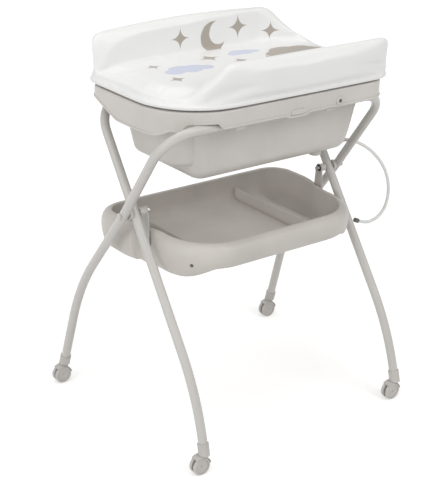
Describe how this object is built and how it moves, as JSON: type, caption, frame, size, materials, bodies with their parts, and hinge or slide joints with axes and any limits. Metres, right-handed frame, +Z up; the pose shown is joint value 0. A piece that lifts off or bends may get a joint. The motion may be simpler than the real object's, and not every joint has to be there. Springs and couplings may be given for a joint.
{
  "type": "baby bathtub with folding stand",
  "caption": "Folding rolling stand of crossed bent tubes that carries a baby bathtub with a drain hose, a hinged padded changing top and a storage tray below.",
  "frame": {"origin": "on the floor, under the middle of the object without its hose", "axes": "+Z up, +X along the tub towards the drain hose, -Y to the side of the release button"},
  "size_m": [0.967, 0.6683, 1.056],
  "materials": {
    "frame_paint": "smooth warm grey coating, satin",
    "socket_plastic": "moulded",
    "caster_plastic": "moulded",
    "hub_plastic": "moulded",
    "tub_plastic": "smooth moulding, soft gloss",
    "button_plastic": "smooth moulding",
    "ring_plastic": "smooth moulding",
    "hose_plastic": "soft hose, slightly milky",
    "steel": "plain",
    "board": "plain",
    "pad_cover": "wipe-clean coated fabric over foam, printed"
  },
  "bodies": {
    "stand": {"inner_frame": "frame_paint", "front_left_socket": "socket_plastic", "front_right_socket": "socket_plastic", "pivot_bolt_left": "steel", "pivot_bolt_right": "steel", "pivot_nut_left": "steel", "pivot_nut_right": "steel", "hub_spacer_left": "hub_plastic", "hub_spacer_right": "hub_plastic"},
    "rear_legs": {"outer_frame": "frame_paint", "rear_left_socket": "socket_plastic", "rear_right_socket": "socket_plastic"},
    "tub_unit": {"tub": "tub_plastic", "hinge_bracket_left": "tub_plastic", "hinge_bracket_right": "tub_plastic", "bar_clip_left": "tub_plastic", "bar_clip_right": "tub_plastic", "hanger_ring": "ring_plastic", "drain_cup": "tub_plastic", "hose_collar": "button_plastic", "drain_hose": "hose_plastic", "hose_stopper": "button_plastic", "hinge_knuckle_left": "hub_plastic", "hinge_knuckle_right": "hub_plastic", "hinge_pin_left": "steel", "hinge_pin_right": "steel"},
    "plug": {"drain_plug": "button_plastic"},
    "button": {"release_button": "button_plastic"},
    "changing_top": {"changer_board": "board", "changer_pad": "pad_cover", "hinge_leaf_left": "hub_plastic", "hinge_leaf_right": "hub_plastic"},
    "tray_unit": {"tray": "tub_plastic", "tray_hanger_left": "hub_plastic", "tray_hanger_right": "hub_plastic", "tray_screw_left": "steel", "tray_screw_right": "steel"},
    "front_left_caster": {"front_left_caster_hood": "caster_plastic", "front_left_caster_axle": "steel"},
    "front_left_rear_roller": {"front_left_rear_wheel": "caster_plastic"},
    "front_left_front_roller": {"front_left_front_wheel": "caster_plastic"},
    "front_right_caster": {"front_right_caster_hood": "caster_plastic", "front_right_caster_axle": "steel"},
    "front_right_rear_roller": {"front_right_rear_wheel": "caster_plastic"},
    "front_right_front_roller": {"front_right_front_wheel": "caster_plastic"},
    "rear_left_caster": {"rear_left_caster_hood": "caster_plastic", "rear_left_caster_axle": "steel"},
    "rear_left_rear_roller": {"rear_left_rear_wheel": "caster_plastic"},
    "rear_left_front_roller": {"rear_left_front_wheel": "caster_plastic"},
    "rear_right_caster": {"rear_right_caster_hood": "caster_plastic", "rear_right_caster_axle": "steel"},
    "rear_right_rear_roller": {"rear_right_rear_wheel": "caster_plastic"},
    "rear_right_front_roller": {"rear_right_front_wheel": "caster_plastic"}
  },
  "joints": [
    {"name": "tub_lift", "type": "hinge", "parent": "stand", "child": "tub_unit", "pos_m": [0.0105, 0.198, 0.881], "axis": [-1, 0, 0], "range_deg": [0, 90]},
    {"name": "frame_fold", "type": "hinge", "parent": "stand", "child": "rear_legs", "pos_m": [0.0105, 0.014, 0.619], "axis": [-1, 0, 0], "range_deg": [0, 13.5]},
    {"name": "tray_fold", "type": "hinge", "parent": "stand", "child": "tray_unit", "pos_m": [0.0105, 0.014, 0.619], "axis": [-1, 0, 0], "range_deg": [0, 6.75]},
    {"name": "pad_hinge", "type": "hinge", "parent": "tub_unit", "child": "changing_top", "pos_m": [0.0105, 0.2268, 0.9263], "axis": [-1, 0, 0], "range_deg": [0, 95]},
    {"name": "drain_plug_lift", "type": "slide", "parent": "tub_unit", "child": "plug", "axis": [0, 0, 1], "range_m": [0, 0.04]},
    {"name": "release_press", "type": "slide", "parent": "tub_unit", "child": "button", "axis": [0, 1, 0], "range_m": [0, 0.003], "stiffness_N_per_m": 600},
    {"name": "front_left_swivel", "type": "hinge", "parent": "stand", "child": "front_left_caster", "pos_m": [-0.3335, -0.315, 0.054], "axis": [0, 0, 1], "continuous": true},
    {"name": "front_left_rear_roll", "type": "hinge", "parent": "front_left_caster", "child": "front_left_rear_roller", "pos_m": [-0.3455, -0.30645, 0.025], "axis": [0, 1, 0], "continuous": true},
    {"name": "front_left_front_roll", "type": "hinge", "parent": "front_left_caster", "child": "front_left_front_roller", "pos_m": [-0.3455, -0.32355, 0.025], "axis": [0, 1, 0], "continuous": true},
    {"name": "front_right_swivel", "type": "hinge", "parent": "stand", "child": "front_right_caster", "pos_m": [0.3545, -0.315, 0.054], "axis": [0, 0, 1], "continuous": true},
    {"name": "front_right_rear_roll", "type": "hinge", "parent": "front_right_caster", "child": "front_right_rear_roller", "pos_m": [0.3425, -0.30645, 0.025], "axis": [0, 1, 0], "continuous": true},
    {"name": "front_right_front_roll", "type": "hinge", "parent": "front_right_caster", "child": "front_right_front_roller", "pos_m": [0.3425, -0.32355, 0.025], "axis": [0, 1, 0], "continuous": true},
    {"name": "rear_left_swivel", "type": "hinge", "parent": "rear_legs", "child": "rear_left_caster", "pos_m": [-0.3795, 0.315, 0.054], "axis": [0, 0, 1], "continuous": true},
    {"name": "rear_left_rear_roll", "type": "hinge", "parent": "rear_left_caster", "child": "rear_left_rear_roller", "pos_m": [-0.3915, 0.32355, 0.025], "axis": [0, 1, 0], "continuous": true},
    {"name": "rear_left_front_roll", "type": "hinge", "parent": "rear_left_caster", "child": "rear_left_front_roller", "pos_m": [-0.3915, 0.30645, 0.025], "axis": [0, 1, 0], "continuous": true},
    {"name": "rear_right_swivel", "type": "hinge", "parent": "rear_legs", "child": "rear_right_caster", "pos_m": [0.4005, 0.315, 0.054], "axis": [0, 0, 1], "continuous": true},
    {"name": "rear_right_rear_roll", "type": "hinge", "parent": "rear_right_caster", "child": "rear_right_rear_roller", "pos_m": [0.3885, 0.32355, 0.025], "axis": [0, 1, 0], "continuous": true},
    {"name": "rear_right_front_roll", "type": "hinge", "parent": "rear_right_caster", "child": "rear_right_front_roller", "pos_m": [0.3885, 0.30645, 0.025], "axis": [0, 1, 0], "continuous": true}
  ],
  "couplings": [
    {"joint": "frame_fold", "follows": "tub_lift", "ratio": 0.15},
    {"joint": "tray_fold", "follows": "tub_lift", "ratio": 0.075}
  ]
}
